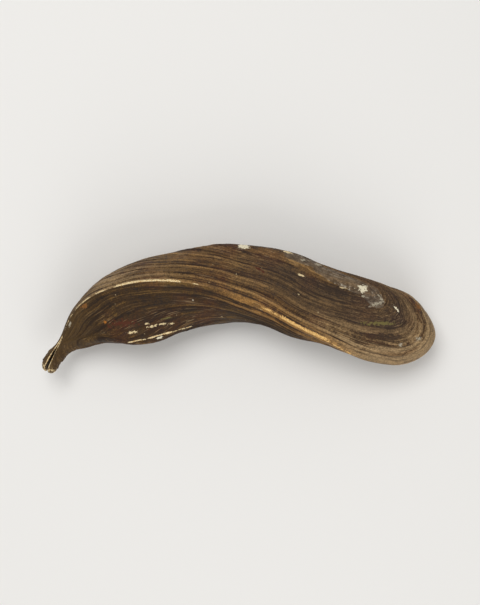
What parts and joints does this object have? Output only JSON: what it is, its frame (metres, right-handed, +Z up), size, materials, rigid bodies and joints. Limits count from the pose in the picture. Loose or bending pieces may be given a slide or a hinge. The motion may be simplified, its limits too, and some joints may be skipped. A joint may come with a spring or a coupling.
{
  "type": "freshwater mussel shell",
  "caption": "Long, twisted freshwater mussel shell with both valves closed, for display as a natural history specimen.",
  "frame": {"origin": "centre of the shell's box in X and Y, at the height of the surface that the shell lies on", "axes": "+X towards the round front end and -X towards the narrow hind end, +Y towards the outside of the shell's curve, +Z up from the surface that it lies on"},
  "size_m": [0.1492, 0.0493, 0.031],
  "materials": {
    "right_valve_shell": "satin, dark brown with growth bands and worn chalky spots",
    "left_valve_shell": "satin, dark red-brown with growth bands and worn chalky spots",
    "dried_ligament": "matt, dark brown and cracked"
  },
  "bodies": {
    "root": {"right_valve": "right_valve_shell", "left_valve": "left_valve_shell", "ligament": "dried_ligament"}
  },
  "joints": []
}
